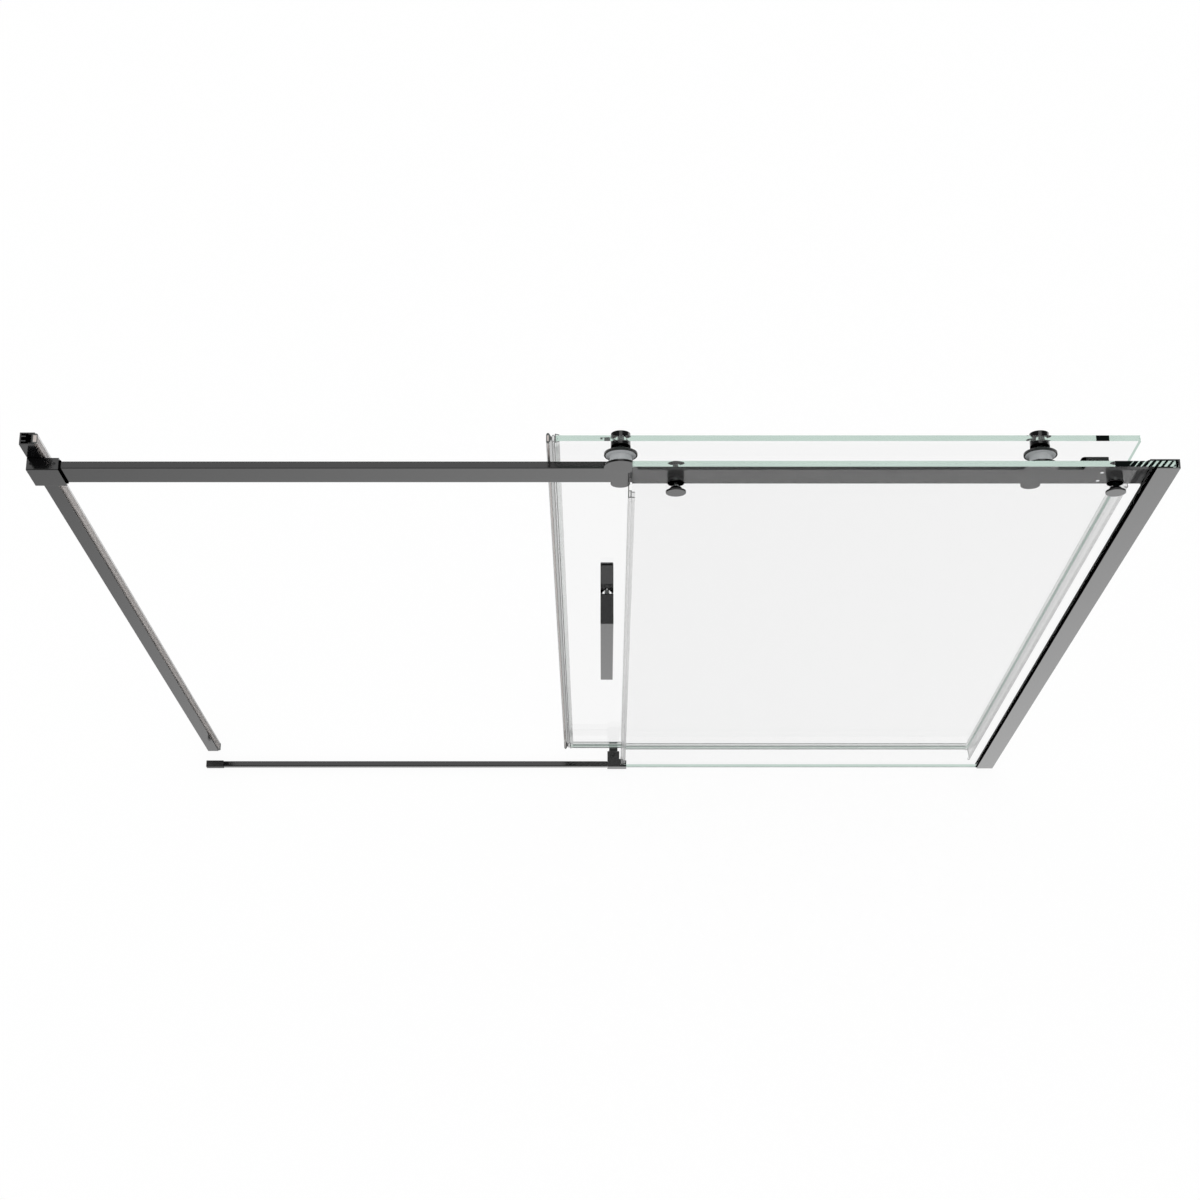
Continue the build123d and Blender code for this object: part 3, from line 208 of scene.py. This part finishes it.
# Moulded EPDM rubber: black and dull, so that it stays darker than the coat beside it
def mouldedRubber():
    look = {
        "colour": "#030303", "roughLow": 0.55, "roughHigh": 0.75, "ior": 1.5, "specular": 0.0,
        "grain": 0.002,        # metres, coarser than the real skin, so that it shows
    }
    material, tree = newMaterial("mouldedRubber")
    place = addNode(tree, "ShaderNodeTexCoord")
    grain = addNode(tree, "ShaderNodeTexNoise", {
        "Vector": place.outputs["Object"], "Scale": 1 / look["grain"], "Detail": 3.0})
    rough = addNode(tree, "ShaderNodeMapRange", {
        "Value": grain.outputs[0], "To Min": look["roughLow"], "To Max": look["roughHigh"]})
    shader = addNode(tree, "ShaderNodeBsdfPrincipled", {
        "Base Color": toLinear(look["colour"]), "Roughness": rough.outputs[0], "IOR": look["ior"],
        "Specular IOR Level": look["specular"]})
    addNode(tree, "ShaderNodeOutputMaterial", {"Surface": shader.outputs[0]})
    return material


# Moulded nylon, black for guides and sleeves, light grey for the wheels: a fine even sheen
def mouldedNylon(name, colour):
    look = {
        "roughLow": 0.35, "roughHigh": 0.45, "ior": 1.53,
        "grain": 0.003,        # metres, coarser than the real skin, so that it shows
    }
    material, tree = newMaterial(name)
    place = addNode(tree, "ShaderNodeTexCoord")
    skin = addNode(tree, "ShaderNodeTexNoise", {
        "Vector": place.outputs["Object"], "Scale": 1 / look["grain"], "Detail": 2.0})
    rough = addNode(tree, "ShaderNodeMapRange", {
        "Value": skin.outputs[0], "To Min": look["roughLow"], "To Max": look["roughHigh"]})
    shader = addNode(tree, "ShaderNodeBsdfPrincipled", {
        "Base Color": toLinear(colour), "Roughness": rough.outputs[0], "IOR": look["ior"]})
    addNode(tree, "ShaderNodeOutputMaterial", {"Surface": shader.outputs[0]})
    return material


# Extruded clear PVC: a soft clear plastic. A wall seen flat is almost clear, and one seen along
# its surface goes grey, partly as a clear wall does and partly as painted shade, which draws the thin lines down
# each seal
def clearPvc():
    look = {
        "flat": 0.975, "slanted": 0.91, "along": 0.42,     # share of light that gets through a surface
        "slantedAt": 0.7,      # where between flat and along the middle share holds
        "cutEnd": "#5C5E5D",   # the sawn ends scatter light and look darker
        "endNormal": 0.9,      # an end's normal is at least this upright
        "gloss": 0.10, "roughness": 0.12,
        "drawLine": 0.003,     # metres between the draw lines, drawn wider than they are
        "stretch": 0.02,       # width of a draw line as a share of its length
        "drawnLow": 0.96, "drawnHigh": 1.02,
    }
    material, tree = newMaterial("clearPvc")
    facing = addNode(tree, "ShaderNodeLayerWeight", {"Blend": 0.5})
    low = addNode(tree, "ShaderNodeMapRange", {
        "Value": facing.outputs["Facing"], "From Min": 0.0, "From Max": look["slantedAt"],
        "To Min": look["flat"], "To Max": look["slanted"]})
    high = addNode(tree, "ShaderNodeMapRange", {
        "Value": facing.outputs["Facing"], "From Min": look["slantedAt"], "From Max": 1.0,
        "To Min": 1.0, "To Max": look["along"] / look["slanted"]})
    place = addNode(tree, "ShaderNodeTexCoord")
    stretch = addNode(tree, "ShaderNodeMapping", {
        "Vector": place.outputs["Object"], "Scale": (1.0, 1.0, look["stretch"])})
    lines = addNode(tree, "ShaderNodeTexNoise", {"Vector": stretch.outputs[0], "Scale": 1 / look["drawLine"]})
    drawn = addNode(tree, "ShaderNodeMapRange", {
        "Value": lines.outputs[0], "To Min": look["drawnLow"], "To Max": look["drawnHigh"]})
    tone = addNode(tree, "ShaderNodeMath", {0: low.outputs[0], 1: high.outputs[0]}, operation="MULTIPLY")
    tone = addNode(tree, "ShaderNodeMath", {0: tone.outputs[0], 1: drawn.outputs[0]}, operation="MULTIPLY")
    clear = addNode(tree, "ShaderNodeBsdfTransparent", {"Color": tone.outputs[0]})
    gloss = addNode(tree, "ShaderNodeBsdfGlossy", {"Color": white, "Roughness": look["roughness"]})
    body = addNode(tree, "ShaderNodeMixShader", {0: look["gloss"], 1: clear.outputs[0], 2: gloss.outputs[0]})
    normal = addNode(tree, "ShaderNodeSeparateXYZ", {0: place.outputs["Normal"]})
    isEnd = addNode(tree, "ShaderNodeMath", {0: normal.outputs["Z"], 1: look["endNormal"]},
                    operation="GREATER_THAN")
    cutEnd = addNode(tree, "ShaderNodeBsdfDiffuse", {"Color": toLinear(look["cutEnd"])})
    mix = addNode(tree, "ShaderNodeMixShader", {0: isEnd.outputs[0], 1: body.outputs[0], 2: cutEnd.outputs[0]})
    addNode(tree, "ShaderNodeOutputMaterial", {"Surface": mix.outputs[0]})
    return material


# Clear tempered glass with polished edges: clear through its faces. Light that has run a long
# way between the faces comes back pale green, which is what the eye sees in an edge, painted here as a glow.
# A painted reflection of the dark fittings beside a pane lies in its polished top edge, cut up by slanted green
# stripes
def temperedGlass(name, own, node):
    look = {
        "face": "#F8F8F8", "faceIor": 1.05,     # low, so that the floor mirrored in a pane stays faint
        "edge": "#F2F8F5", "edgeIor": 1.5,
        "paintedGreenGlow": "#BFD0C8",     # painted glow standing in for light from far inside the pane
        "deepTurns": 20,       # turns after which a ray counts as kept inside
        "wave": 0.12,          # metres between the roller waves of the tempering
        "waveLow": 0.92, "waveHigh": 1.08,
        "shade": 0.08,         # painted shade: how bright the green glow stays on an edge held in a wall channel
        "rim": 0.004,          # metres of the pane's outline where the edge gets the painted green glow
        "square": 0.5,         # least part of a normal along the way that a surface is said to face
        # painted reflection: a dark gloss laid on the top edge where the fittings beside the pane would be
        # mirrored
        "paintedFittingReflection": "#0B100F", "paintedReflectionRough": 0.05,
        "stripe": 0.006,       # metres from stripe to stripe, and their slant in radians
        "slant": 0.7, "waviness": 1.5, "wavinessScale": 40.0,
        "shadow": "#F9FAFA",   # tint of the light that passes through to the floor
    }
    material, tree = newMaterial(name)
    place = addNode(tree, "ShaderNodeTexCoord")
    spot = addNode(tree, "ShaderNodeSeparateXYZ", {0: place.outputs["Object"]})
    normal = addNode(tree, "ShaderNodeSeparateXYZ", {0: place.outputs["Normal"]})
    lightPath = addNode(tree, "ShaderNodeLightPath")
    side = addNode(tree, "ShaderNodeNewGeometry")
    # the outline of the pane, without its holes
    isRim = 0.0
    for axis, letter in ((0, "X"), (2, "Z")):
        ends = [corner[axis] for corner in node.bound_box]
        offset = addNode(tree, "ShaderNodeMath", {0: spot.outputs[letter], 1: (min(ends) + max(ends)) / 2},
                         operation="SUBTRACT")
        offset = addNode(tree, "ShaderNodeMath", {0: offset.outputs[0]}, operation="ABSOLUTE")
        atEnd = addNode(tree, "ShaderNodeMath", {
            0: offset.outputs[0], 1: (max(ends) - min(ends)) / 2 - look["rim"]}, operation="GREATER_THAN")
        isRim = addNode(tree, "ShaderNodeMath", {0: atEnd.outputs[0], 1: isRim}, operation="MAXIMUM").outputs[0]
    depth = addNode(tree, "ShaderNodeMath", {0: normal.outputs["Y"]}, operation="ABSOLUTE")
    isFace = addNode(tree, "ShaderNodeMath", {0: depth.outputs[0], 1: look["square"]}, operation="GREATER_THAN")
    isRight = addNode(tree, "ShaderNodeMath", {0: normal.outputs["X"], 1: look["square"]},
                      operation="GREATER_THAN")
    face = addNode(tree, "ShaderNodeBsdfPrincipled", {
        "Base Color": toLinear(look["face"]), "Roughness": 0.0, "IOR": look["faceIor"],
        "Transmission Weight": 1.0})
    edge = addNode(tree, "ShaderNodeBsdfPrincipled", {
        "Base Color": toLinear(look["edge"]), "Roughness": 0.0, "IOR": look["edgeIor"],
        "Transmission Weight": 1.0})
    # the edge seen from inside: a painted green glow, or painted shade where a channel holds it
    waves = addNode(tree, "ShaderNodeTexNoise", {"Vector": place.outputs["Object"], "Scale": 1 / look["wave"]})
    deepTone = addNode(tree, "ShaderNodeMapRange", {
        "Value": waves.outputs[0], "To Min": look["waveLow"], "To Max": look["waveHigh"]})
    paintedGreenGlow = addNode(tree, "ShaderNodeEmission", {
        "Color": toLinear(look["paintedGreenGlow"]), "Strength": deepTone.outputs[0]})
    # painted shade: the same glow, dim, on the edge in the wall channel
    dark = addNode(tree, "ShaderNodeEmission", {"Color": toLinear(look["paintedGreenGlow"]), "Strength": look["shade"]})
    isShaded = addNode(tree, "ShaderNodeMath", {0: isRight.outputs[0], 1: own["rightShaded"]},
                       operation="MULTIPLY")
    inside = addNode(tree, "ShaderNodeMixShader", {
        0: isShaded.outputs[0], 1: paintedGreenGlow.outputs[0], 2: dark.outputs[0]})
    # painted reflection of the dark fittings: the top edge is dark here, solid where the stripes stay under the
    # limit
    isTop = addNode(tree, "ShaderNodeMath", {0: normal.outputs["Z"], 1: look["square"]},
                    operation="GREATER_THAN")
    start = addNode(tree, "ShaderNodeMath", {0: spot.outputs["X"], 1: own["paintedReflectionFrom"]}, operation="GREATER_THAN")
    stop = addNode(tree, "ShaderNodeMath", {0: spot.outputs["X"], 1: own["paintedReflectionTo"]}, operation="LESS_THAN")
    paintedReflectionPatch = addNode(tree, "ShaderNodeMath", {0: start.outputs[0], 1: stop.outputs[0]}, operation="MULTIPLY")
    paintedReflectionPatch = addNode(tree, "ShaderNodeMath", {0: paintedReflectionPatch.outputs[0], 1: isTop.outputs[0]}, operation="MULTIPLY")
    slant = addNode(tree, "ShaderNodeMapping", {
        "Vector": place.outputs["Object"], "Rotation": (0, 0, look["slant"])})
    stripes = addNode(tree, "ShaderNodeTexWave", {
        "Vector": slant.outputs[0], "Scale": bandStep / look["stripe"], "Distortion": look["waviness"],
        "Detail Scale": look["wavinessScale"]}, bands_direction="X")
    limit = addNode(tree, "ShaderNodeMapRange", {
        "Value": spot.outputs["X"], "From Min": own["paintedReflectionFrom"], "From Max": own["paintedReflectionTo"],
        "To Min": own["limitLeft"], "To Max": own["limitRight"]})
    isDark = addNode(tree, "ShaderNodeMath", {0: stripes.outputs[1], 1: limit.outputs[0]}, operation="LESS_THAN")
    paintedReflectionPatch = addNode(tree, "ShaderNodeMath", {0: paintedReflectionPatch.outputs[0], 1: isDark.outputs[0]}, operation="MULTIPLY")
    paintedFittingReflection = addNode(tree, "ShaderNodeBsdfPrincipled", {
        "Base Color": toLinear(look["paintedFittingReflection"]), "Roughness": look["paintedReflectionRough"], "IOR": look["faceIor"]})
    outside = addNode(tree, "ShaderNodeMixShader", {
        0: paintedReflectionPatch.outputs[0], 1: edge.outputs[0], 2: paintedFittingReflection.outputs[0]})
    fromInside = addNode(tree, "ShaderNodeMath", {0: side.outputs["Backfacing"], 1: isRim}, operation="MULTIPLY")
    rim = addNode(tree, "ShaderNodeMixShader", {
        0: fromInside.outputs[0], 1: outside.outputs[0], 2: inside.outputs[0]})
    # a ray that has turned many times between the faces ends in the same painted green glow
    turns = addNode(tree, "ShaderNodeMath", {0: lightPath.outputs["Ray Depth"], 1: look["deepTurns"]},
                    operation="GREATER_THAN")
    kept = addNode(tree, "ShaderNodeMath", {0: turns.outputs[0], 1: side.outputs["Backfacing"]},
                   operation="MULTIPLY")
    pane = addNode(tree, "ShaderNodeMixShader", {0: kept.outputs[0], 1: face.outputs[0], 2: paintedGreenGlow.outputs[0]})
    body = addNode(tree, "ShaderNodeMixShader", {0: isFace.outputs[0], 1: rim.outputs[0], 2: pane.outputs[0]})
    through = addNode(tree, "ShaderNodeBsdfTransparent", {"Color": toLinear(look["shadow"])})
    mix = addNode(tree, "ShaderNodeMixShader", {
        0: lightPath.outputs["Is Shadow Ray"], 1: body.outputs[0], 2: through.outputs[0]})
    addNode(tree, "ShaderNodeOutputMaterial", {"Surface": mix.outputs[0]})
    return material


# Extruded magnetic rubber: a pale brownish grey under the clear seal, soft and dull
def magneticRubber():
    look = {
        "colour": "#BDB4AF", "roughLow": 0.45, "roughHigh": 0.6,
        "grain": 0.0025,       # metres, coarser than the real skin, so that it shows
    }
    material, tree = newMaterial("magneticRubber")
    place = addNode(tree, "ShaderNodeTexCoord")
    grain = addNode(tree, "ShaderNodeTexNoise", {"Vector": place.outputs["Object"], "Scale": 1 / look["grain"]})
    rough = addNode(tree, "ShaderNodeMapRange", {
        "Value": grain.outputs[0], "To Min": look["roughLow"], "To Max": look["roughHigh"]})
    shader = addNode(tree, "ShaderNodeBsdfPrincipled", {
        "Base Color": toLinear(look["colour"]), "Roughness": rough.outputs[0]})
    addNode(tree, "ShaderNodeOutputMaterial", {"Surface": shader.outputs[0]})
    return material


# Turned steel of the bearings, pins and screws, with the tool's rings round each axis
def turnedSteel(name, look):
    ring = 0.000628            # metres from ring to ring, coarser than real ones
    material, tree = newMaterial(name)
    place = addNode(tree, "ShaderNodeTexCoord")
    grooves = addNode(tree, "ShaderNodeTexWave", {
        "Vector": place.outputs["Object"], "Scale": bandStep / ring}, bands_direction="Y")
    rough = addNode(tree, "ShaderNodeMapRange", {
        "Value": grooves.outputs[1], "To Min": look["roughLow"], "To Max": look["roughHigh"]})
    shader = addNode(tree, "ShaderNodeBsdfPrincipled", {
        "Base Color": toLinear(look["colour"]), "Metallic": look["metallic"], "Roughness": rough.outputs[0]})
    addNode(tree, "ShaderNodeOutputMaterial", {"Surface": shader.outputs[0]})
    return material


finishes = {
    "black_finish": satinBlackCoat("satinBlackCoat"),
    "black_rubber": mouldedRubber(),
    "black_nylon": mouldedNylon("blackNylon", "#101010"),
    "grey_nylon": mouldedNylon("greyNylon", "#B9BBBD"),
    "clear_pvc": clearPvc(),
    "magnet": magneticRubber(),
    "black_steel": turnedSteel("blackOxideSteel", {
        "colour": "#101011", "metallic": 0.0, "roughLow": 0.25, "roughHigh": 0.35}),
    "bright_steel": turnedSteel("turnedStainlessSteel", {
        "colour": "#B8B8B8", "metallic": 1.0, "roughLow": 0.2, "roughHigh": 0.3}),
}
# middle of the bar's pair of spare holes, whose walls get the painted highlight, and half its reach, in metres
spareHoles = {"X": (0.6625, 0.004), "Z": (1.4255, 0.018)}
# the painted reflection patches run between two places in metres from the middle of the opening; a limit over 1
# is solid
slidingLook = {"rightShaded": 0.0, "paintedReflectionFrom": 0.644, "paintedReflectionTo": 0.661, "limitLeft": 1.1, "limitRight": 1.1}
fixedLook = {"rightShaded": 1.0, "paintedReflectionFrom": 0.666, "paintedReflectionTo": 0.744, "limitLeft": 1.2, "limitRight": 0.35}
ownFinish = {
    "header_bar": satinBlackCoat("satinBlackCoatPaintedLitHoles", spareHoles),
    "sliding_glass": temperedGlass("temperedGlassSliding", slidingLook, nodes["sliding_glass"]),
    "fixed_glass": temperedGlass("temperedGlassInChannel", fixedLook, nodes["fixed_glass"]),
}
for entry in frame["record"]["subparts"]:
    node = nodes[entry["node"]]
    node.data.materials.clear()
    node.data.materials.append(ownFinish.get(entry["node"]) or finishes[entry["material_slot"]])
print("materials set on", len(nodes), "nodes")
